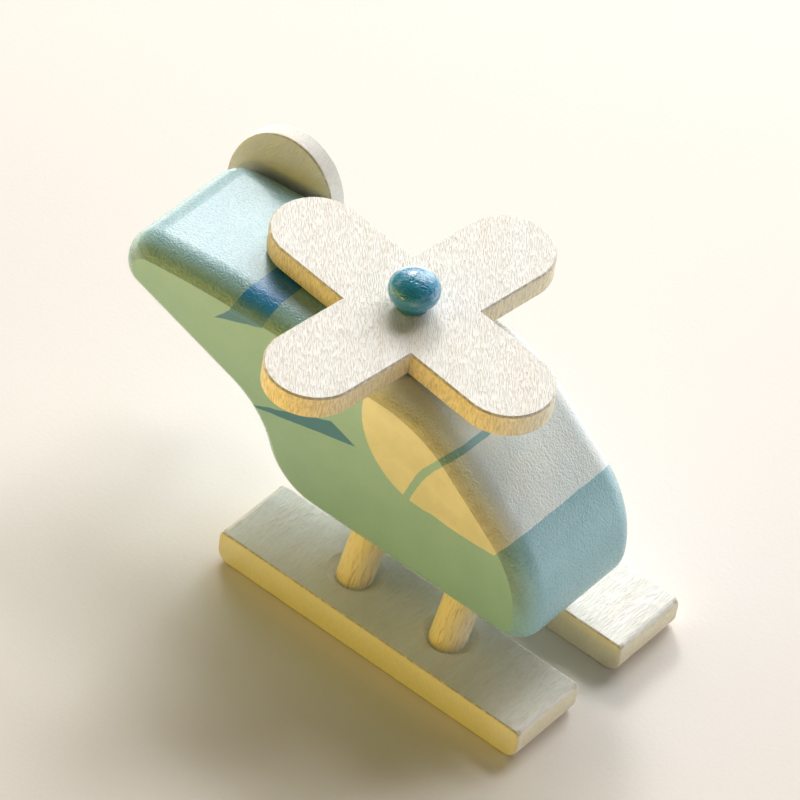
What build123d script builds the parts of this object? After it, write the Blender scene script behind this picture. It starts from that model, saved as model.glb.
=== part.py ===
from build123d import *
import os
from math import asin, cos, degrees, radians, sin

# Wooden toy helicopter on two skids, with a four-blade main rotor and an oval tail rotor.
# Millimetres. +X is towards the nose, +Y is the helicopter's left, +Z is up.
# The origin is on the floor, under the middle of the whole toy's bounding box.

os.makedirs("parts", exist_ok=True)

# ---- fuselage: one thick wooden slab, sawn to a profile and rounded over at both sides ----
BODY_WIDTH = 45.4
BODY_ROUND = 8.0
BODY_CREASE = 21.0
BELLY_Z = 22.4
TOP_Z = 79.2
BELLY_FRONT_X = 58.4
CHIN_RADIUS = 8.5
CHIN_TURN = 88.0
NOSE_RADIUS = 32.6
BROW_SLOPE = 39.0
BROW_LENGTH = 20.8
TOP_REAR_X = -17.4
TAIL_TOP_END_X = -65.7
TAIL_TOP_SLOPE = 8.5
TAIL_UPPER_RADIUS = 10.4
TAIL_LOWER_RADIUS = 8.3
TAIL_UNDER_SLOPE = 18.5
TAIL_UNDER_LENGTH = 35.3
RUMP_RADIUS = 21.0
RUMP_SLOPE = 65.0
RUMP_LENGTH = 1.5

# ---- skids and legs ----
SKID_LENGTH = 100.0
SKID_WIDTH = 25.0
SKID_THICKNESS = 10.0
SKID_BOTTOM_ROUND = 4.0
SKID_TOP_ROUND = 2.0
SKID_EDGE = 0.7
SKID_X = 26.6
SKID_Y = 21.2
LEG_RADIUS = 5.0
LEG_SPLAY = 18.0
LEG_LENGTH = 33.0
LEG_CHAMFER = 0.8
LEG_SPACING = 31.0
LEG_FOOT_Y = 21.4
LEG_FOOT_Z = 4.4
HOLE_SPARE = 0.5
DISH_Y = 19.5
DISH_RADIUS = 7.8
DISH_BOTTOM_RADIUS = 5.6
DISH_DEPTH = 1.1

# ---- main rotor and its ball-headed peg ----
ROTOR_X = 2.2
ROTOR_GAP = 0.5
ROTOR_THICKNESS = 7.0
ROTOR_SPAN = 94.0
BLADE_WIDTH = 25.4
ROTOR_EDGE = 0.5
ROTOR_REST_TURN = -6.6
ROTOR_SHANK_RADIUS = 4.0
ROTOR_SHANK_DEPTH = 22.0
ROTOR_RUNNING_GAP = 0.08
COLLAR_RADIUS = 4.3
COLLAR_GAP = 0.3
BALL_RADIUS = 6.8
BALL_HALF_HEIGHT = 5.1
BALL_SIDE_RADIUS = 4.0
BALL_RISE = 5.2

# ---- tail rotor and its peg ----
TAIL_ROTOR_X = -59.0
TAIL_ROTOR_Z = 66.8
TAIL_ROTOR_GAP = 0.5
TAIL_ROTOR_THICKNESS = 5.4
TAIL_ROTOR_LONG = 22.0
TAIL_ROTOR_SHORT = 17.0
TAIL_ROTOR_TURN = 71.7
TAIL_ROTOR_EDGE = 0.6
TAIL_SHANK_RADIUS = 3.0
TAIL_SHANK_DEPTH = 16.0
TAIL_RUNNING_GAP = 0.06
TAIL_HEAD_RADIUS = 4.6
TAIL_HEAD_HEIGHT = 3.6
TAIL_HEAD_GAP = 0.3

HALF_WIDTH = BODY_WIDTH / 2
ROTOR_BOTTOM_Z = TOP_Z + ROTOR_GAP
ROTOR_TOP_Z = ROTOR_BOTTOM_Z + ROTOR_THICKNESS
COLLAR_Z = ROTOR_TOP_Z + COLLAR_GAP
BALL_Z = COLLAR_Z + BALL_RISE
TAIL_ROTOR_Y = HALF_WIDTH + TAIL_ROTOR_GAP
TAIL_HEAD_Y = TAIL_ROTOR_Y + TAIL_ROTOR_THICKNESS + TAIL_HEAD_GAP
LEG_PLACES = [
    ("front_left", SKID_X + LEG_SPACING / 2, 1),
    ("front_right", SKID_X + LEG_SPACING / 2, -1),
    ("rear_left", SKID_X - LEG_SPACING / 2, 1),
    ("rear_right", SKID_X - LEG_SPACING / 2, -1),
]


def leg_plane(x, side, start=0.0):
    """Plane across a leg, `start` up from the foot's end; its normal runs up the leg."""
    lean = radians(LEG_SPLAY)
    up = Vector(0, -side * sin(lean), cos(lean))
    foot = Vector(x, side * LEG_FOOT_Y, LEG_FOOT_Z)
    return Plane(origin=foot + up * start, x_dir=(1, 0, 0), z_dir=up)


def fall_radius(drop, slope):
    """Radius of an arc that starts or ends level and reaches `slope` after `drop`."""
    return drop / (1 - cos(radians(slope)))


# ---- fuselage ----
with BuildPart() as fuselage:
    with BuildSketch(Plane.XZ):
        with BuildLine():
            # from the belly's front end, up over the nose, back along the top and round the tail
            chin = JernArc((BELLY_FRONT_X, BELLY_Z), (1, 0), CHIN_RADIUS, CHIN_TURN)
            nose = JernArc(chin @ 1, chin % 1, NOSE_RADIUS, 180 - BROW_SLOPE - CHIN_TURN)
            brow = PolarLine(nose @ 1, BROW_LENGTH, 180 - BROW_SLOPE)
            crown_radius = fall_radius(TOP_Z - (brow @ 1).Y, BROW_SLOPE)
            crown = JernArc(brow @ 1, brow % 1, crown_radius, BROW_SLOPE)
            Line(crown @ 1, (TOP_REAR_X, TOP_Z))
            back_radius = (TOP_REAR_X - TAIL_TOP_END_X) / sin(radians(TAIL_TOP_SLOPE))
            back = JernArc((TOP_REAR_X, TOP_Z), (-1, 0), back_radius, TAIL_TOP_SLOPE)
            tail_upper = JernArc(back @ 1, back % 1, TAIL_UPPER_RADIUS, 90 - TAIL_TOP_SLOPE)
            tail_lower = JernArc(tail_upper @ 1, (0, -1), TAIL_LOWER_RADIUS, 90 - TAIL_UNDER_SLOPE)
            under = PolarLine(tail_lower @ 1, TAIL_UNDER_LENGTH, -TAIL_UNDER_SLOPE)
            rump = JernArc(under @ 1, under % 1, RUMP_RADIUS, TAIL_UNDER_SLOPE - RUMP_SLOPE)
            seat = PolarLine(rump @ 1, RUMP_LENGTH, -RUMP_SLOPE)
            heel_radius = fall_radius((seat @ 1).Y - BELLY_Z, RUMP_SLOPE)
            heel = JernArc(seat @ 1, seat % 1, heel_radius, RUMP_SLOPE)
            Line(heel @ 1, (BELLY_FRONT_X, BELLY_Z))
        make_face()
    # rounded over past the finished width, then planed flat, which leaves a crease on each side
    planed_off = BODY_ROUND * (1 - cos(radians(BODY_CREASE)))
    extrude(amount=HALF_WIDTH + planed_off, both=True)
    side_faces = fuselage.faces().filter_by(Axis.Y)
    fillet(side_faces.edges(), radius=BODY_ROUND)
    Box(4 * BODY_WIDTH, BODY_WIDTH, 4 * BODY_WIDTH, mode=Mode.INTERSECT)
    # blind holes for the four legs, drilled at the splay angle
    for _, leg_x, leg_side in LEG_PLACES:
        with BuildSketch(leg_plane(leg_x, leg_side)):
            Circle(LEG_RADIUS)
        extrude(amount=LEG_LENGTH + HOLE_SPARE, mode=Mode.SUBTRACT)
    # blind holes for the two pegs
    with BuildSketch(Plane.XY.offset(TOP_Z)):
        with Locations((ROTOR_X, 0)):
            Circle(ROTOR_SHANK_RADIUS)
    extrude(amount=-(ROTOR_SHANK_DEPTH + HOLE_SPARE), mode=Mode.SUBTRACT)
    with BuildSketch(Plane.XZ.offset(-HALF_WIDTH)):
        with Locations((TAIL_ROTOR_X, TAIL_ROTOR_Z)):
            Circle(TAIL_SHANK_RADIUS)
    extrude(amount=TAIL_SHANK_DEPTH + HOLE_SPARE, mode=Mode.SUBTRACT)
fuselage.part.label = "fuselage"
export_step(fuselage.part, "parts/fuselage.step")


# ---- skids ----
def make_skid(side):
    """One skid: a bar with its ends rounded over, and a dished blind hole for each leg."""
    with BuildPart() as skid:
        with BuildSketch(Plane.XZ.offset(-side * SKID_Y)) as profile:
            with Locations((SKID_X, SKID_THICKNESS / 2)):
                Rectangle(SKID_LENGTH, SKID_THICKNESS)
            fillet(profile.vertices().sort_by(Axis.Y)[:2], radius=SKID_BOTTOM_ROUND)
            fillet(profile.vertices().sort_by(Axis.Y)[-2:], radius=SKID_TOP_ROUND)
        extrude(amount=SKID_WIDTH / 2, both=True)
        fillet(skid.faces().filter_by(Axis.Y).edges(), radius=SKID_EDGE)
        for _, leg_x, leg_side in LEG_PLACES:
            if leg_side == side:
                with BuildSketch(leg_plane(leg_x, leg_side, -HOLE_SPARE)):
                    Circle(LEG_RADIUS)
                extrude(amount=LEG_LENGTH / 2, mode=Mode.SUBTRACT)
                with Locations((leg_x, side * DISH_Y, SKID_THICKNESS)):
                    Cone(
                        DISH_BOTTOM_RADIUS,
                        DISH_RADIUS,
                        DISH_DEPTH,
                        align=(Align.CENTER, Align.CENTER, Align.MAX),
                        mode=Mode.SUBTRACT,
                    )
    return skid.part


for skid_name, skid_side in (("skid_left", 1), ("skid_right", -1)):
    skid_part = make_skid(skid_side)
    skid_part.label = skid_name
    export_step(skid_part, f"parts/{skid_name}.step")


# ---- legs ----
def make_leg(x, side):
    """One splayed dowel leg with chamfered ends."""
    with BuildPart() as leg:
        with BuildSketch(leg_plane(x, side)):
            Circle(LEG_RADIUS)
        extrude(amount=LEG_LENGTH)
        chamfer(leg.edges().filter_by(GeomType.CIRCLE), length=LEG_CHAMFER)
    return leg.part


for leg_name, place_x, place_side in LEG_PLACES:
    leg_part = make_leg(place_x, place_side)
    leg_part.label = f"leg_{leg_name}"
    export_step(leg_part, f"parts/leg_{leg_name}.step")


# ---- main rotor: four round-ended blades, cut from one board ----
with BuildPart() as main_rotor:
    with BuildSketch(Plane.XY.offset(ROTOR_BOTTOM_Z)):
        with Locations((ROTOR_X, 0)):
            SlotOverall(ROTOR_SPAN, BLADE_WIDTH, rotation=ROTOR_REST_TURN)
            SlotOverall(ROTOR_SPAN, BLADE_WIDTH, rotation=ROTOR_REST_TURN + 90)
    extrude(amount=ROTOR_THICKNESS)
    chamfer(main_rotor.faces().filter_by(Axis.Z).edges(), length=ROTOR_EDGE)
    with BuildSketch(Plane.XY.offset(ROTOR_BOTTOM_Z)):
        with Locations((ROTOR_X, 0)):
            Circle(ROTOR_SHANK_RADIUS + ROTOR_RUNNING_GAP)
    extrude(amount=ROTOR_THICKNESS, mode=Mode.SUBTRACT)
main_rotor.part.label = "main_rotor"
export_step(main_rotor.part, "parts/main_rotor.step")

# ---- main rotor peg: shank, collar and flattened ball, turned in one piece ----
side_centre = BALL_RADIUS - BALL_SIDE_RADIUS
cap_radius = (side_centre**2 + BALL_HALF_HEIGHT**2 - BALL_SIDE_RADIUS**2) / (
    2 * (BALL_HALF_HEIGHT - BALL_SIDE_RADIUS)
)
cap_turn = degrees(asin(side_centre / (cap_radius - BALL_SIDE_RADIUS)))

with BuildPart() as rotor_peg:
    with BuildSketch(Plane.XZ):
        with BuildLine():
            ball_top = (ROTOR_X, BALL_Z + BALL_HALF_HEIGHT)
            cap = JernArc(ball_top, (1, 0), cap_radius, -cap_turn)
            ball_side = JernArc(cap @ 1, cap % 1, BALL_SIDE_RADIUS, 2 * cap_turn - 180)
            base = JernArc(ball_side @ 1, ball_side % 1, cap_radius, -cap_turn)
            Line(base @ 1, ball_top)
        make_face()
        with Locations((ROTOR_X, COLLAR_Z)):
            Rectangle(COLLAR_RADIUS, BALL_RISE, align=(Align.MIN, Align.MIN))
        with Locations((ROTOR_X, TOP_Z - ROTOR_SHANK_DEPTH)):
            Rectangle(
                ROTOR_SHANK_RADIUS,
                COLLAR_Z - TOP_Z + ROTOR_SHANK_DEPTH,
                align=(Align.MIN, Align.MIN),
            )
    revolve(axis=Axis((ROTOR_X, 0, 0), (0, 0, 1)))
rotor_peg.part.label = "rotor_peg"
export_step(rotor_peg.part, "parts/rotor_peg.step")

# ---- tail rotor: an oval board on the left side of the tail ----
with BuildPart() as tail_rotor:
    with BuildSketch(Plane.XZ.offset(-TAIL_ROTOR_Y)):
        with Locations((TAIL_ROTOR_X, TAIL_ROTOR_Z)):
            Ellipse(TAIL_ROTOR_LONG, TAIL_ROTOR_SHORT, rotation=TAIL_ROTOR_TURN)
    extrude(amount=-TAIL_ROTOR_THICKNESS)
    fillet(tail_rotor.faces().filter_by(Axis.Y).edges(), radius=TAIL_ROTOR_EDGE)
    with BuildSketch(Plane.XZ.offset(-TAIL_ROTOR_Y)):
        with Locations((TAIL_ROTOR_X, TAIL_ROTOR_Z)):
            Circle(TAIL_SHANK_RADIUS + TAIL_RUNNING_GAP)
    extrude(amount=-TAIL_ROTOR_THICKNESS, mode=Mode.SUBTRACT)
tail_rotor.part.label = "tail_rotor"
export_step(tail_rotor.part, "parts/tail_rotor.step")

# ---- tail rotor peg: shank and low domed head ----
with BuildPart() as tail_peg:
    with BuildSketch(Plane.XY.offset(TAIL_ROTOR_Z)):
        with BuildLine():
            TangentArc(
                (TAIL_ROTOR_X, TAIL_HEAD_Y + TAIL_HEAD_HEIGHT),
                (TAIL_ROTOR_X + TAIL_HEAD_RADIUS, TAIL_HEAD_Y),
                tangent=(1, 0),
            )
            Line((TAIL_ROTOR_X, TAIL_HEAD_Y + TAIL_HEAD_HEIGHT), (TAIL_ROTOR_X, TAIL_HEAD_Y))
            Line((TAIL_ROTOR_X, TAIL_HEAD_Y), (TAIL_ROTOR_X + TAIL_HEAD_RADIUS, TAIL_HEAD_Y))
        make_face()
        with Locations((TAIL_ROTOR_X, HALF_WIDTH - TAIL_SHANK_DEPTH)):
            Rectangle(
                TAIL_SHANK_RADIUS,
                TAIL_HEAD_Y - HALF_WIDTH + TAIL_SHANK_DEPTH,
                align=(Align.MIN, Align.MIN),
            )
    revolve(axis=Axis((TAIL_ROTOR_X, 0, TAIL_ROTOR_Z), (0, 1, 0)))
tail_peg.part.label = "tail_peg"
export_step(tail_peg.part, "parts/tail_peg.step")
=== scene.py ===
import math

import bpy
from mathutils import Matrix, Vector


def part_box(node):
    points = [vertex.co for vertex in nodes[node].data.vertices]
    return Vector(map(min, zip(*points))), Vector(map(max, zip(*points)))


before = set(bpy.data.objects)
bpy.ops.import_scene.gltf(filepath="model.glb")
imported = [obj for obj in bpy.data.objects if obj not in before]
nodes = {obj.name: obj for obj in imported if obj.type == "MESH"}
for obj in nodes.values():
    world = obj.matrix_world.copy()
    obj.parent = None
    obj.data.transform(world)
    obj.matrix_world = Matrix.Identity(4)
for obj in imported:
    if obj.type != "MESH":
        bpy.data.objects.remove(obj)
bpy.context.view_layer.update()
# which part of a vector is which
X_AXIS, Y_AXIS, Z_AXIS = 0, 1, 2


# ---------------------------------------------------------------- node helpers
class Shader:
    """A material's node tree, with short calls for the few node types used here."""

    def __init__(self, name):
        self.material = bpy.data.materials.new(name)
        self.material.use_nodes = True
        self.tree = self.material.node_tree
        self.surface = self.tree.nodes["Principled BSDF"]
        self.point = self.add("ShaderNodeTexCoord").outputs["Object"]

    def add(self, kind, **settings):
        """A new node of that kind."""
        node = self.tree.nodes.new(kind)
        for key, value in settings.items():
            setattr(node, key, value)
        return node

    def feed(self, socket, value):
        """Links a socket's output, or sets a plain number or colour."""
        if isinstance(value, bpy.types.NodeSocket):
            self.tree.links.new(value, socket)
        elif isinstance(value, (tuple, list)) and len(value) == 3 and socket.type == "RGBA":
            socket.default_value = (*value, 1.0)
        else:
            socket.default_value = value

    def math(self, operation, *values):
        """One arithmetic step on sockets or numbers."""
        node = self.add("ShaderNodeMath", operation=operation)
        for socket, value in zip(node.inputs, values):
            self.feed(socket, value)
        return node.outputs[0]

    def axes(self, vector):
        """The x, y and z of a vector."""
        node = self.add("ShaderNodeSeparateXYZ")
        self.feed(node.inputs[0], vector)
        return node.outputs["X"], node.outputs["Y"], node.outputs["Z"]

    def place(self, vector, turn=(0, 0, 0), scale=(1, 1, 1)):
        """The vector turned, in degrees, and then scaled."""
        turned = self.add("ShaderNodeVectorRotate", rotation_type="EULER_XYZ", invert=True)
        self.feed(turned.inputs["Vector"], vector)
        turned.inputs["Rotation"].default_value = [math.radians(a) for a in turn]
        scaled = self.add("ShaderNodeVectorMath", operation="MULTIPLY")
        self.feed(scaled.inputs[0], turned.outputs[0])
        scaled.inputs[1].default_value = scale
        return scaled.outputs[0]

    def noise(self, vector, size, detail=2.0, rough=0.5, warp=0.0):
        """Noise from 0 to 1 whose features are about size metres across."""
        node = self.add("ShaderNodeTexNoise")
        self.feed(node.inputs["Vector"], vector)
        node.inputs["Scale"].default_value = 1.0 / size
        node.inputs["Detail"].default_value = detail
        node.inputs["Roughness"].default_value = rough
        node.inputs["Distortion"].default_value = warp
        return node.outputs["Fac"]

    def ramp(self, value, low, high, out_low=0.0, out_high=1.0, smooth=True):
        """The value mapped from low..high to out_low..out_high, and held at the ends."""
        node = self.add("ShaderNodeMapRange")
        node.interpolation_type = "SMOOTHSTEP" if smooth else "LINEAR"
        self.feed(node.inputs["Value"], value)
        ends = (("From Min", low), ("From Max", high), ("To Min", out_low), ("To Max", out_high))
        for key, number in ends:
            node.inputs[key].default_value = number
        return node.outputs["Result"]

    def mix(self, factor, first, second):
        """first where factor is 0, second where it is 1."""
        node = self.add("ShaderNodeMix", data_type="RGBA")
        self.feed(node.inputs["Factor"], factor)
        self.feed(node.inputs["A"], first)
        self.feed(node.inputs["B"], second)
        return node.outputs["Result"]

    def bump(self, height, distance, below=None):
        """A normal from a height of 0 to 1 that stands for distance metres."""
        node = self.add("ShaderNodeBump")
        self.feed(node.inputs["Height"], height)
        node.inputs["Distance"].default_value = distance
        if below is not None:
            self.feed(node.inputs["Normal"], below)
        return node.outputs["Normal"]

    def finish(self, color, roughness, normal, **constants):
        """Feeds the shader, sets its constants, and gives back the material."""
        self.feed(self.surface.inputs["Base Color"], color)
        self.feed(self.surface.inputs["Roughness"], roughness)
        self.feed(self.surface.inputs["Normal"], normal)
        for key, value in constants.items():
            self.surface.inputs[key.replace("_", " ")].default_value = value
        return self.material


def dress(node_name, material):
    """Puts the material on a CAD node."""
    mesh = nodes[node_name].data
    mesh.materials.clear()
    mesh.materials.append(material)


# ---------------------------------------------------------------- wood
# linear colours; sizes in metres
BARE = (0.78, 0.65, 0.46)
PORE = (0.56, 0.48, 0.38)
CHALK = (0.93, 0.92, 0.89)
# brown of the painted shade along each arris
ARRIS_SHADE = (0.40, 0.29, 0.17)
END_PALE = (0.74, 0.60, 0.47)
END_DARK = (0.46, 0.34, 0.25)
WASH = (0.92, 0.91, 0.87)
SKID_WASH = (0.96, 0.96, 0.92)
# the tail rotor's whitewash, darkened and cooled as painted shade
TAIL_WASH_SHADED = (0.58, 0.62, 0.67)
# the main rotor's sawn edges: warm edge grain, darkened further as painted shade
ROTOR_EDGE_AND_SHADE = (0.82, 0.69, 0.45)
TAIL_EDGE = (0.97, 0.94, 0.88)
SKID_EDGE = (0.95, 0.89, 0.66)
DOWEL = (0.88, 0.79, 0.58)
DOWEL_STREAK = (0.60, 0.44, 0.24)
DOWEL_FIBRE = (0.50, 0.35, 0.18)
DOWEL_PALE = (0.94, 0.86, 0.68)
FLECK_SIZE = 0.00027
PORE_SIZE = 0.00026
STREAK_SIZE = 0.0036
CLOUD_SIZE = 0.020
SAW_LINE_SIZE = 0.00042
RING_SIZE = 0.0007
ARRIS_SHADE_SIZE = 0.0016
DENT_SIZE = 0.0035
DENT_DEPTH = 0.00012
GRAIN_DEPTH = 0.00016
# distance from a skid's middle line over which the painted shade along its arrises fades in, outside the
# dishes
DISH_CLEAR = (0.0100, 0.0110)
# how a face looks along face_axis, 1 being square on: where it counts as sawn, and as an arris
SAWN_FROM = (0.75, 0.35)
ARRIS_FACE_SIDE = (0.98, 0.90)
ARRIS_EDGE_SIDE = (0.45, 0.62)
END_FROM = (0.35, 0.80)
# noise levels between which each mark fades in
FLECK_LEVELS = (0.50, 0.66)
PORE_LEVELS = (0.56, 0.70)
STREAK_LEVELS = (0.35, 0.75)
CLOUD_LEVELS = (0.40, 0.70)
SAW_LEVELS = (0.40, 0.64)
RING_LEVELS = (0.36, 0.66)
ARRIS_SHADE_LEVELS = (0.35, 0.60)
# how much of its own colour each mark lays down
# a pore's width over its length, against a fleck's
PORE_THINNER = 0.5
PORE_SHARE = 0.75
STREAK_SHARE = 0.20
CLOUD_SHARE = 0.15
LEAST_ARRIS_SHADE = 0.15
MOST_ARRIS_SHADE = 0.60
SAW_SHADE = 0.55
# noise levels over which the roughness goes from its least to its most
ROUGH_LEVELS = (0.3, 0.7)
WOOD_ROUGHNESS = (0.48, 0.66)
DOWEL_ROUGHNESS = (0.48, 0.68)
# how much each mark adds to the relief
STREAK_RELIEF = 0.25
FLECK_RELIEF = 0.6
# width over length of the marks
STREAK_STRETCH = 0.05
SAW_STRETCH = 0.20
RING_STRETCH = 0.30
DOWEL_STREAK_STRETCH = 0.13
DOWEL_FIBRE_STRETCH = 0.05
DOWEL_STREAK_SIZE = 0.00065
DOWEL_FIBRE_SIZE = 0.0004
DOWEL_CLOUD_SIZE = 0.009
DOWEL_DEPTH = 0.00022
DOWEL_STREAK_LEVELS = (0.52, 0.68)
DOWEL_FIBRE_LEVELS = (0.55, 0.75)
DOWEL_CLOUD_LEVELS = (0.45, 0.75)
DOWEL_STREAK_SHARE = 0.75
DOWEL_FIBRE_SHARE = 0.45
DOWEL_CLOUD_SHARE = 0.3
DOWEL_FIBRE_RELIEF = 0.6


def whitewashed_wood(name, turn, face_axis, wash, edge, edge_share, fleck_stretch, edge_grain,
                     fleck_share, end_share=0.0, inner_band=0.0):
    """Pale wood under a thin white wash, its grain along local X after turn.

    Faces that look along face_axis keep the wash, darkened and cooled on the tail rotor as painted shade;
    the sawn edges show edge_share of bare wood, darkened on the main rotor as painted shade,
    and ends that look along X show end_share of pinkish end grain. fleck_stretch is a fleck's
    width over its length, and edge_grain is how strongly the sawn edges are streaked.
    """
    s = Shader(name)
    flecks = s.noise(s.place(s.point, turn, (fleck_stretch, 1.0, 1.0)), FLECK_SIZE, detail=1, rough=0.5)
    pores = s.noise(s.place(s.point, turn, (PORE_THINNER * fleck_stretch, 1.0, 1.0)), PORE_SIZE, detail=2)
    streaks = s.noise(s.place(s.point, turn, (STREAK_STRETCH, 1.0, 1.0)), STREAK_SIZE, detail=3, warp=0.3)
    cloud = s.noise(s.point, CLOUD_SIZE, detail=3)
    fleck_mask = s.ramp(flecks, *FLECK_LEVELS)
    pore_mask = s.ramp(pores, *PORE_LEVELS)
    normal = s.axes(s.add("ShaderNodeNewGeometry").outputs["Normal"])
    facing = s.math("ABSOLUTE", normal[face_axis])
    sawn = s.ramp(facing, *SAWN_FROM)
    arris = s.math("MULTIPLY", s.ramp(facing, *ARRIS_FACE_SIDE), s.ramp(facing, *ARRIS_EDGE_SIDE))
    flat = s.mix(s.math("MULTIPLY", fleck_mask, fleck_share), wash, BARE)
    flat = s.mix(s.math("MULTIPLY", pore_mask, PORE_SHARE * fleck_share), flat, PORE)
    flat = s.mix(s.ramp(streaks, *STREAK_LEVELS, 0.0, STREAK_SHARE), flat, BARE)
    flat = s.mix(s.ramp(cloud, *CLOUD_LEVELS, 0.0, CLOUD_SHARE), flat, CHALK)
    saw_turn = (0, 0, 0) if face_axis == Z_AXIS else (90, 0, 0)
    through_board = s.place(s.point, saw_turn, (1.0, 1.0, SAW_STRETCH))
    saw_lines = s.noise(through_board, SAW_LINE_SIZE, detail=3, rough=0.6)
    shaded_edge = tuple(SAW_SHADE * part for part in edge)
    bare = s.mix(s.ramp(saw_lines, *SAW_LEVELS, 0.0, edge_grain), edge, shaded_edge)
    color = s.mix(s.math("MULTIPLY", sawn, edge_share), flat, bare)
    if end_share:
        end = s.ramp(s.math("ABSOLUTE", normal[X_AXIS]), *END_FROM, 0.0, end_share)
        rings = s.noise(s.place(s.point, scale=(1.0, 1.0, RING_STRETCH)), RING_SIZE, detail=4, rough=0.65)
        end_grain = s.mix(s.ramp(rings, *RING_LEVELS), END_PALE, END_DARK)
        color = s.mix(end, color, end_grain)
    # a dark line of painted shade along each arris, stronger in patches
    arris_shade_noise = s.noise(s.point, ARRIS_SHADE_SIZE, detail=3)
    arris_shade_mask = s.math("MULTIPLY", arris, s.ramp(arris_shade_noise, *ARRIS_SHADE_LEVELS, LEAST_ARRIS_SHADE, MOST_ARRIS_SHADE))
    if inner_band:
        # the dishes round the legs are shallow cones, so they are kept out of the painted arris shade
        across = s.math("ABSOLUTE", s.axes(s.point)[Y_AXIS])
        outside = s.math("ABSOLUTE", s.math("SUBTRACT", across, inner_band))
        arris_shade_mask = s.math("MULTIPLY", arris_shade_mask, s.ramp(outside, *DISH_CLEAR))
    color = s.mix(arris_shade_mask, color, ARRIS_SHADE)
    raised = s.math("MULTIPLY", streaks, STREAK_RELIEF)
    relief = s.math("SUBTRACT", raised, s.math("MULTIPLY", fleck_mask, FLECK_RELIEF))
    saw_relief = s.math("MULTIPLY", s.math("MULTIPLY", saw_lines, sawn), edge_grain)
    relief = s.math("SUBTRACT", relief, saw_relief)
    dents = s.bump(s.noise(s.point, DENT_SIZE, detail=2), DENT_DEPTH)
    grain = s.bump(relief, GRAIN_DEPTH, below=dents)
    roughness = s.ramp(flecks, *ROUGH_LEVELS, *WOOD_ROUGHNESS)
    return s.finish(color, roughness, grain, Specular_IOR_Level=0.45)


def natural_dowel(name, turn):
    """Bare pale dowel: thin dark streaks along the leg, which lies along local Z after turn."""
    s = Shader(name)
    along = s.place(s.point, turn, (1.0, 1.0, DOWEL_STREAK_STRETCH))
    streaks = s.noise(along, DOWEL_STREAK_SIZE, detail=3, rough=0.6, warp=0.5)
    fibres = s.noise(s.place(s.point, turn, (1.0, 1.0, DOWEL_FIBRE_STRETCH)), DOWEL_FIBRE_SIZE, detail=3)
    cloud = s.noise(s.point, DOWEL_CLOUD_SIZE, detail=2)
    color = s.mix(s.ramp(streaks, *DOWEL_STREAK_LEVELS, 0.0, DOWEL_STREAK_SHARE), DOWEL, DOWEL_STREAK)
    color = s.mix(s.ramp(fibres, *DOWEL_FIBRE_LEVELS, 0.0, DOWEL_FIBRE_SHARE), color, DOWEL_FIBRE)
    color = s.mix(s.ramp(cloud, *DOWEL_CLOUD_LEVELS, 0.0, DOWEL_CLOUD_SHARE), color, DOWEL_PALE)
    relief = s.math("ADD", streaks, s.math("MULTIPLY", fibres, DOWEL_FIBRE_RELIEF))
    grain = s.bump(relief, DOWEL_DEPTH)
    roughness = s.ramp(fibres, *ROUGH_LEVELS, *DOWEL_ROUGHNESS)
    return s.finish(color, roughness, grain, Specular_IOR_Level=0.4)


# ---------------------------------------------------------------- paint
# linear colours
BASE = (0.232, 0.432, 0.488)
BASE_PALE = (0.256, 0.456, 0.508)
DARK = (0.014, 0.208, 0.510)
# the dark paint's shaded copy for the flat sides: painted shade
DARK_SIDE_SHADED = (0.020, 0.165, 0.370)
DARK_PALE = (0.030, 0.250, 0.540)
# one cream paint in two lit copies: darker and warmer on the flat sides, cooler on the brow, painted
# light and shade
CREAM_SIDE_WARM_LIT = (0.570, 0.558, 0.440)
CREAM_TOP_COOL_LIT = (0.660, 0.720, 0.720)
CREAM_PALE = (0.84, 0.81, 0.72)
SPECK = (0.10, 0.16, 0.15)
# colours of the dark band along the upper crease: painted shade, with some darker film of paint
CREASE_FILM_AND_SHADE = (0.055, 0.145, 0.135)
CREAM_CREASE_FILM_AND_SHADE = (0.26, 0.20, 0.06)
KNOB_BLUE = (0.024, 0.260, 0.455)
KNOB_BLUE_PALE = (0.040, 0.350, 0.550)
KNOB_FIBRE = (0.05, 0.36, 0.50)
KNOB_SPECK = (0.006, 0.110, 0.250)
# sizes in metres
MOTTLE_SIZE = 0.011
STIPPLE_SIZE = 0.00065
WAVE_SIZE = 0.0030
WOOD_GRAIN_SIZE = 0.0010
EDGE_WOBBLE_SIZE = 0.004
CREASE_SHADE_PATCH_SIZE = 0.0022
PEEL_DEPTH = 0.00028
PAINT_THICKNESS = 0.00006
WOOD_GRAIN_DEPTH = 0.00003
KNOB_FIBRE_SIZE = 0.0009
KNOB_PATCH_SIZE = 0.0020
KNOB_SPECK_SIZE = 0.00040
KNOB_DEPTH = 0.00026
# how squarely a face looks sideways, 1 being square on
FLAT_SIDE = (0.90, 0.97)
BESIDE_CREASE = (0.50, 0.88)
# how far a face looks up where the dark band of film and painted shade along the crease begins and is
# whole
CREASE_SHADE_UPWARD = (0.0, 0.20)
LEAST_CREASE_SHADE = 0.48
MOST_CREASE_SHADE = 0.64
MOTTLE_LEVELS = (0.35, 0.7)
SPECK_LEVELS = (0.55, 0.8)
CREASE_SHADE_LEVELS = (0.30, 0.70)
SPECK_SHARE = 0.20
DARK_PALE_SHARE = 0.8
CREAM_PALE_SHARE = 0.3
WAVE_RELIEF = 0.6
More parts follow.
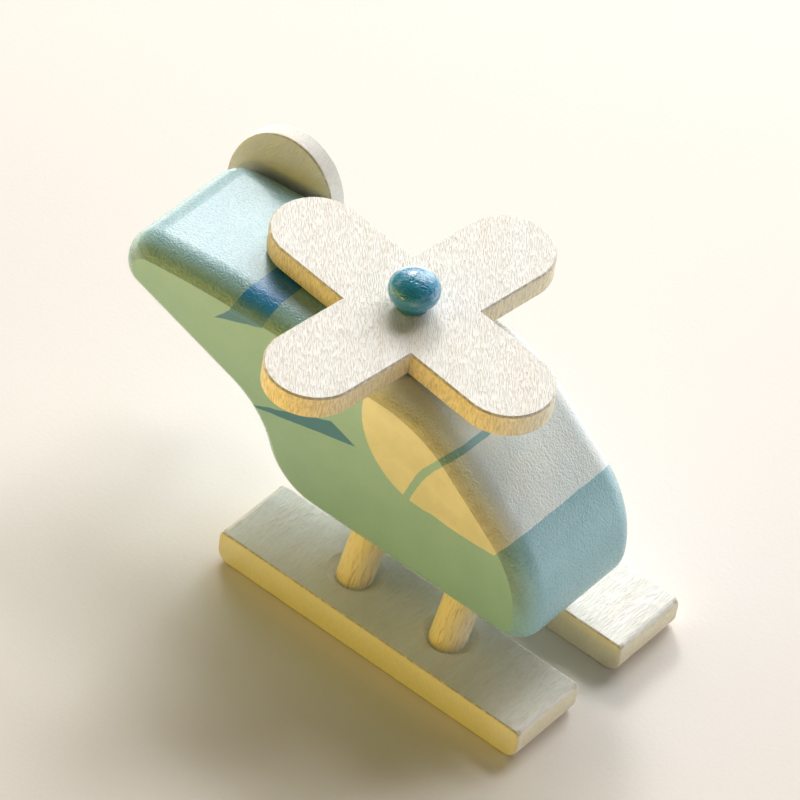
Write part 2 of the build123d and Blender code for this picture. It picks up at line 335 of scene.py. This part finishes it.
# how much of PAINT_THICKNESS the second and third colours each stand proud
LAYER_SHARE = 0.5
WOOD_GRAIN_STRETCH = 0.12
PAINT_ROUGH_LEVELS = (0.3, 0.75)
PAINT_ROUGHNESS = (0.24, 0.40)
KNOB_GRAIN_TURN = 25
KNOB_FIBRE_STRETCH = 0.5
KNOB_PATCH_LEVELS = (0.35, 0.7)
KNOB_FIBRE_LEVELS = (0.54, 0.70)
KNOB_SPECK_LEVELS = (0.50, 0.66)
KNOB_PATCH_SHARE = 0.6
KNOB_FIBRE_SHARE = 0.15
KNOB_SPECK_SHARE = 0.50
KNOB_SPECK_RELIEF = 0.5
KNOB_ROUGH_LEVELS = (0.3, 0.8)
KNOB_ROUGHNESS = (0.16, 0.30)
# how much of the orange peel the flat sides lose, and how much rougher they are
SIDE_SMOOTHED = 0.75
SIDE_ROUGHER = 0.14
MM_PER_METRE = 1000.0
# the pattern's corners, centres and radii, in millimetres in the side view
BAND = ((-37.4, 72.0), (-26.6, 73.5), (-25.6, 80.0), (-35.0, 80.0))
BAND_POINT = ((-41.9, 66.8), (-26.6, 73.5), (-37.4, 72.0))
ARROW = ((-29.2, 45.0), (7.0, 55.2), (-1.6, 58.3))
SCREEN_BACK_CENTRE = (28.4, 70.8)
SCREEN_BACK_RADIUS = 21.4
SILL_CENTRE = (40.8, 149.4)
SILL_RADIUS = 100.0
NOSE_LINE = ((53.1, 50.2), (56.6, 55.6))
STRUT_CENTRE = (71.1, 39.8)
STRUT_RADIUS = 47.7
STRUT_HALF_WIDTH = 1.05
EDGE_WOBBLE = 0.25
EDGE_SOFTNESS = 0.12


def painted_body():
    """Satin paint in three colours. The pattern is laid out in millimetres in the side view, x and z."""
    s = Shader("painted_body")
    x_m, _, z_m = s.axes(s.point)
    ripple = s.noise(s.point, EDGE_WOBBLE_SIZE, detail=2)
    wobble = s.ramp(ripple, 0.0, 1.0, -EDGE_WOBBLE, EDGE_WOBBLE, smooth=False)
    x = s.math("ADD", s.math("MULTIPLY", x_m, MM_PER_METRE), wobble)
    z = s.math("SUBTRACT", s.math("MULTIPLY", z_m, MM_PER_METRE), wobble)

    def left_of(start, end):
        """Millimetres to the left of the line from start to end."""
        run, rise = end[0] - start[0], end[1] - start[1]
        length = math.hypot(run, rise)
        along_x = s.math("MULTIPLY", s.math("SUBTRACT", x, start[0]), -rise / length)
        along_z = s.math("MULTIPLY", s.math("SUBTRACT", z, start[1]), run / length)
        return s.math("ADD", along_x, along_z)

    def inside_circle(centre, radius):
        """Millimetres inside the circle."""
        dx = s.math("SUBTRACT", x, centre[0])
        dz = s.math("SUBTRACT", z, centre[1])
        squared = s.math("ADD", s.math("MULTIPLY", dx, dx), s.math("MULTIPLY", dz, dz))
        return s.math("SUBTRACT", radius, s.math("SQRT", squared))

    def inside_polygon(*corners):
        """Millimetres inside a convex polygon, its corners counter-clockwise."""
        depth = left_of(corners[-1], corners[0])
        for start, end in zip(corners, corners[1:]):
            depth = s.math("MINIMUM", depth, left_of(start, end))
        return depth

    # tail band with its rearward point, and the slim arrow low on the side
    band = inside_polygon(*BAND)
    band_point = inside_polygon(*BAND_POINT)
    arrow = inside_polygon(*ARROW)
    dark_shape = s.math("MAXIMUM", s.math("MAXIMUM", band, band_point), arrow)
    # windscreen: round at the back, a shallow curve below, a straight edge at the nose
    back_round = inside_circle(SCREEN_BACK_CENTRE, SCREEN_BACK_RADIUS)
    forward = s.math("SUBTRACT", x, SCREEN_BACK_CENTRE[0])
    sill = inside_circle(SILL_CENTRE, SILL_RADIUS)
    screen = s.math("MAXIMUM", back_round, s.math("MINIMUM", forward, sill))
    screen = s.math("MINIMUM", screen, left_of(*NOSE_LINE))
    # the strut that splits the windscreen, in the body's own colour
    off_strut = s.math("ABSOLUTE", inside_circle(STRUT_CENTRE, STRUT_RADIUS))
    screen = s.math("MINIMUM", screen, s.math("SUBTRACT", off_strut, STRUT_HALF_WIDTH))

    screen_mask = s.ramp(screen, -EDGE_SOFTNESS, EDGE_SOFTNESS)
    dark_mask = s.ramp(dark_shape, -EDGE_SOFTNESS, EDGE_SOFTNESS)

    _, normal_y, normal_z = s.axes(s.add("ShaderNodeNewGeometry").outputs["Normal"])
    side = s.ramp(s.math("ABSOLUTE", normal_y), *FLAT_SIDE)
    mottle = s.noise(s.point, MOTTLE_SIZE, detail=3)
    stipple = s.noise(s.point, STIPPLE_SIZE, detail=2, rough=0.6)
    waves = s.noise(s.point, WAVE_SIZE, detail=2)
    grain = s.noise(s.place(s.point, scale=(WOOD_GRAIN_STRETCH, 1.0, 1.0)), WOOD_GRAIN_SIZE, detail=3)
    base = s.mix(s.ramp(mottle, *MOTTLE_LEVELS), BASE, BASE_PALE)
    dark = s.mix(s.ramp(mottle, *MOTTLE_LEVELS, 0.0, DARK_PALE_SHARE), DARK, DARK_PALE)
    # on the flat sides the dark paint takes its darker copy, as painted shade
    dark = s.mix(side, dark, DARK_SIDE_SHADED)
    # the cream changes with facing, as painted light and shade: warm and darker on the flat sides, cool
    # on top
    cream = s.mix(side, CREAM_TOP_COOL_LIT, CREAM_SIDE_WARM_LIT)
    cream = s.mix(s.ramp(mottle, *MOTTLE_LEVELS, 0.0, CREAM_PALE_SHARE), cream, CREAM_PALE)
    color = s.mix(screen_mask, base, cream)
    color = s.mix(dark_mask, color, dark)
    color = s.mix(s.ramp(stipple, *SPECK_LEVELS, 0.0, SPECK_SHARE), color, SPECK)
    # a dark band along the upper crease of each flat side: painted shade, with some darker film of paint
    beside_crease = s.ramp(s.math("ABSOLUTE", normal_y), *BESIDE_CREASE)
    crease = s.math("MULTIPLY", beside_crease, s.math("SUBTRACT", 1.0, side))
    crease = s.math("MULTIPLY", crease, s.ramp(normal_z, *CREASE_SHADE_UPWARD))
    crease_shade_patches = s.noise(s.point, CREASE_SHADE_PATCH_SIZE, detail=4)
    crease_shade_share = s.ramp(crease_shade_patches, *CREASE_SHADE_LEVELS, LEAST_CREASE_SHADE, MOST_CREASE_SHADE)
    crease_film_and_shade = s.mix(screen_mask, CREASE_FILM_AND_SHADE, CREAM_CREASE_FILM_AND_SHADE)
    color = s.mix(s.math("MULTIPLY", crease, crease_shade_share), color, crease_film_and_shade)

    # orange peel, fainter on the flat sides
    peel_share = s.math("SUBTRACT", 1.0, s.math("MULTIPLY", side, SIDE_SMOOTHED))
    peel_height = s.math("ADD", stipple, s.math("MULTIPLY", waves, WAVE_RELIEF))
    peel = s.bump(s.math("MULTIPLY", peel_height, peel_share), PEEL_DEPTH)
    # the second and third colours stand a little proud of the first
    cream_layer = s.math("MULTIPLY", screen_mask, LAYER_SHARE)
    dark_layer = s.math("MULTIPLY", dark_mask, LAYER_SHARE)
    edges = s.bump(s.math("ADD", cream_layer, dark_layer), PAINT_THICKNESS, below=peel)
    fibres = s.bump(grain, WOOD_GRAIN_DEPTH, below=edges)
    matt = s.math("MULTIPLY", side, SIDE_ROUGHER)
    roughness = s.math("ADD", s.ramp(stipple, *PAINT_ROUGH_LEVELS, *PAINT_ROUGHNESS), matt)
    gloss = {"Specular_IOR_Level": 0.5, "Coat_Weight": 0.35, "Coat_Roughness": 0.28}
    return s.finish(color, roughness, fibres, **gloss)


def painted_knob(name):
    """Blue paint over turned wood: grain shows through, and the surface waves break up its shine."""
    s = Shader(name)
    along = s.place(s.point, (0, 0, KNOB_GRAIN_TURN), (KNOB_FIBRE_STRETCH, 1.0, 1.0))
    fibres = s.noise(along, KNOB_FIBRE_SIZE, detail=3, warp=0.4)
    patches = s.noise(s.point, KNOB_PATCH_SIZE, detail=3)
    speckle = s.noise(s.point, KNOB_SPECK_SIZE, detail=2)
    color = s.mix(s.ramp(patches, *KNOB_PATCH_LEVELS, 0.0, KNOB_PATCH_SHARE), KNOB_BLUE, KNOB_BLUE_PALE)
    color = s.mix(s.ramp(fibres, *KNOB_FIBRE_LEVELS, 0.0, KNOB_FIBRE_SHARE), color, KNOB_FIBRE)
    color = s.mix(s.ramp(speckle, *KNOB_SPECK_LEVELS, 0.0, KNOB_SPECK_SHARE), color, KNOB_SPECK)
    waves = s.math("ADD", fibres, s.math("MULTIPLY", speckle, KNOB_SPECK_RELIEF))
    normal = s.bump(waves, KNOB_DEPTH)
    roughness = s.ramp(fibres, *KNOB_ROUGH_LEVELS, *KNOB_ROUGHNESS)
    gloss = {"Specular_IOR_Level": 0.55, "Coat_Weight": 0.75, "Coat_Roughness": 0.20}
    return s.finish(color, roughness, normal, **gloss)


# ---------------------------------------------------------------- dressing the CAD nodes
# angles in degrees: the legs' lean, and how far each board's grain is turned from X
LEG_SPLAY = 18.0
ROTOR_GRAIN = 128.4
TAIL_GRAIN = 60.0


def middle_across(node_name):
    """The y in metres of the middle of a node's box."""
    low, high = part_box(node_name)
    return (low[Y_AXIS] + high[Y_AXIS]) / 2


dress("fuselage", painted_body())
# the main rotor's sawn edges are darkened as painted shade
rotor_wood = whitewashed_wood(
    "rotor_wood", turn=(0, 0, ROTOR_GRAIN), face_axis=Z_AXIS, wash=WASH, edge=ROTOR_EDGE_AND_SHADE,
    edge_share=0.85, fleck_stretch=0.13, edge_grain=0.75, fleck_share=0.24,
)
dress("main_rotor", rotor_wood)
# the tail rotor's faces take the whitewash darkened and cooled as painted shade
tail_wood = whitewashed_wood(
    "tail_wood", turn=(0, -TAIL_GRAIN, 0), face_axis=Y_AXIS, wash=TAIL_WASH_SHADED, edge=TAIL_EDGE,
    edge_share=0.90, fleck_stretch=0.13, edge_grain=0.15, fleck_share=0.22,
)
dress("tail_rotor", tail_wood)
skid_wood = whitewashed_wood(
    "skid_wood", turn=(0, 0, 90), face_axis=Z_AXIS, wash=SKID_WASH, edge=SKID_EDGE,
    edge_share=0.85, fleck_stretch=0.07, edge_grain=0.12, fleck_share=0.16,
    end_share=0.10, inner_band=middle_across("skid_left"),
)
for side, lean in (("left", LEG_SPLAY), ("right", -LEG_SPLAY)):
    dress(f"skid_{side}", skid_wood)
    dowel = natural_dowel(f"dowel_wood_{side}", (lean, 0, 0))
    for end in ("front", "rear"):
        dress(f"leg_{end}_{side}", dowel)
knob_paint = painted_knob("knob_paint")
dress("rotor_peg", knob_paint)
dress("tail_peg", knob_paint)


# ---------------------------------------------------------------- floor, light and camera
# sizes in metres, linear colours
FLOOR_HALF = 3.0
FLOOR_FIBRE_SIZE = 0.0009
FLOOR_TOOTH_SIZE = 0.0012
FLOOR_TOOTH_DEPTH = 0.00004
FLOOR_FIBRE_LEVELS = (0.35, 0.65)
FLOOR_FIBRE_SHARE = 0.3
FLOOR_ROUGHNESS = 0.9
FLOOR_PALE = (0.895, 0.850, 0.812)
FLOOR_DEEP = (0.875, 0.828, 0.788)
TARGET = Vector((-0.0078, 0.0170, 0.0337))
LAMP_DISTANCE = 2.4
PANEL_HEIGHT = 0.002
# lamp diameters in metres
WIDE = 0.88
MEDIUM = 0.60
SMALL = 0.48
SMALLEST = 0.44
# elevation in degrees that four of the low lamps share
LOW = 9.6
WHITE = (1.0, 1.0, 1.0)
# the camera's, in millimetres and in metres
SENSOR_WIDTH = 36.0
CLIP_START = 0.05


def make_floor():
    """A large pale floor."""
    mesh = bpy.data.meshes.new("floor")
    half = FLOOR_HALF
    corners = [(-half, -half, 0), (half, -half, 0), (half, half, 0), (-half, half, 0)]
    mesh.from_pydata(corners, [], [(0, 1, 2, 3)])
    floor = bpy.data.objects.new("floor", mesh)
    bpy.context.scene.collection.objects.link(floor)
    s = Shader("floor_paper")
    fibres = s.noise(s.point, FLOOR_FIBRE_SIZE, detail=3)
    deep_share = s.ramp(fibres, *FLOOR_FIBRE_LEVELS, 0.0, FLOOR_FIBRE_SHARE)
    color = s.mix(deep_share, FLOOR_PALE, FLOOR_DEEP)
    paper = s.bump(s.noise(s.point, FLOOR_TOOTH_SIZE, detail=2), FLOOR_TOOTH_DEPTH)
    mesh.materials.append(s.finish(color, FLOOR_ROUGHNESS, paper, Specular_IOR_Level=0.15))


def lamp_disk(name, azimuth, elevation, diameter, power, color):
    """A round soft light, its compass bearing measured from +X towards +Y, aimed at the toy."""
    light = bpy.data.lights.new(name, "AREA")
    light.shape = "DISK"
    light.size = diameter
    light.energy = power
    light.color = color
    a, e = math.radians(azimuth), math.radians(elevation)
    direction = Vector((math.cos(a) * math.cos(e), math.sin(a) * math.cos(e), math.sin(e)))
    add_lamp(light, TARGET + direction * LAMP_DISTANCE, direction.to_track_quat("Z", "Y").to_euler())


def bounce_panel(name, centre, size, power, color):
    """A flat panel of light just over the floor, facing up, for light thrown back by the table."""
    light = bpy.data.lights.new(name, "AREA")
    light.shape = "RECTANGLE"
    light.size, light.size_y = size
    light.energy = power
    light.color = color
    add_lamp(light, (*centre, PANEL_HEIGHT), (math.pi, 0, 0))


def add_lamp(light, place, turn):
    """Puts a light in the scene, out of the camera's sight."""
    lamp = bpy.data.objects.new(light.name, light)
    lamp.location = place
    lamp.rotation_euler = turn
    lamp.visible_camera = False
    bpy.context.scene.collection.objects.link(lamp)


def make_world(light_color, strength, seen_color):
    """Even light from all round; the camera sees a pale backdrop."""
    world = bpy.data.worlds.new("studio")
    bpy.context.scene.world = world
    world.use_nodes = True
    tree = world.node_tree
    background = tree.nodes["Background"]
    background.inputs["Color"].default_value = (*light_color, 1.0)
    background.inputs["Strength"].default_value = strength
    seen = tree.nodes.new("ShaderNodeBackground")
    seen.inputs["Color"].default_value = (*seen_color, 1.0)
    choice = tree.nodes.new("ShaderNodeMixShader")
    rays = tree.nodes.new("ShaderNodeLightPath")
    tree.links.new(rays.outputs["Is Camera Ray"], choice.inputs["Fac"])
    tree.links.new(background.outputs[0], choice.inputs[1])
    tree.links.new(seen.outputs[0], choice.inputs[2])
    tree.links.new(choice.outputs[0], tree.nodes["World Output"].inputs["Surface"])


def make_camera(azimuth, elevation, roll, distance, lens):
    """A long lens, from the right front quarter and above, slightly rolled."""
    camera = bpy.data.cameras.new("camera")
    camera.lens = lens
    camera.sensor_width = SENSOR_WIDTH
    camera.clip_start = CLIP_START
    holder = bpy.data.objects.new("camera", camera)
    a, e = math.radians(azimuth), math.radians(elevation)
    back = Vector((math.sin(a) * math.cos(e), -math.cos(a) * math.cos(e), math.sin(e)))
    holder.location = TARGET + back * distance
    turn = back.to_track_quat("Z", "Y").to_matrix() @ Matrix.Rotation(math.radians(roll), 3, "Z")
    holder.rotation_euler = turn.to_euler()
    bpy.context.scene.collection.objects.link(holder)
    bpy.context.scene.camera = holder


make_floor()
# name, azimuth and elevation in degrees, diameter in metres, power in watts, colour
LAMPS = (
    # a broad bank of white light on the toy's left, from low down to well overhead
    ("bank_main", 134, 34, SMALL, 14.5, (1.0, 0.99, 1.0)),
    ("bank_left", 101, 32, WIDE, 12.0, WHITE),
    ("bank_front", 80, 30, MEDIUM, 8.0, WHITE),
    ("bank_middle", 121, 29, WIDE, 11.5, WHITE),
    ("bank_right", 146, 24, WIDE, 7.6, (1.0, 0.98, 0.95)),
    ("bank_upper_right", 138.5, 42, WIDE, 11.7, WHITE),
    ("bank_upper_left", 94, 50, SMALL, 7.0, WHITE),
    ("bank_edge_left", 84, 50, SMALL, 3.9, WHITE),
    ("bank_top", 114, 58, SMALL, 6.0, WHITE),
    ("bank_low", 100, 11, WIDE, 8.5, WHITE),
    # weaker, slightly warm light from the tail and round the nose
    ("tail_high", 190, 34, WIDE, 4.2, (1.0, 0.91, 0.66)),
    ("front_fill", 352, 30, MEDIUM, 2.8, (1.0, 0.94, 0.86)),
    ("nose_far", 60, LOW, WIDE, 4.5, WHITE),
    ("nose_near", 30, 13, WIDE, 6.5, (1.0, 0.95, 0.88)),
    # amber light from low down on the near side
    ("near_middle", 262, 5.5, SMALLEST, 8.2, (1.0, 0.63, 0.03)),
    ("near_front_low", 320, LOW, WIDE, 1.6, (1.0, 0.83, 0.35)),
    ("near_tail", 240, LOW, WIDE, 5.6, (1.0, 0.79, 0.02)),
    ("tail_low", 220, LOW, WIDE, 5.4, (1.0, 0.85, 0.22)),
)
for lamp in LAMPS:
    lamp_disk(*lamp)
# name, centre and size in metres, power in watts, colour
PANELS = (
    ("bounce_far", (0.0, 0.4), (0.9, 0.5), 2.6, WHITE),
    ("bounce_tail", (-0.42, 0.0), (0.4, 0.5), 1.6, (1.0, 0.97, 0.80)),
    ("bounce_nose", (0.36, 0.0), (0.4, 0.5), 0.9, (0.50, 0.78, 1.0)),
    ("bounce_near", (-0.03, -0.20), (0.6, 0.24), 0.70, (1.0, 0.62, 0.03)),
)
for panel in PANELS:
    bounce_panel(*panel)
make_world(light_color=(1.0, 0.62, 0.08), strength=0.03, seen_color=(0.93, 0.91, 0.87))
make_camera(azimuth=32.94, elevation=44.33, roll=9.22, distance=1.6685, lens=289.05)
bpy.context.scene.view_settings.view_transform = "Standard"
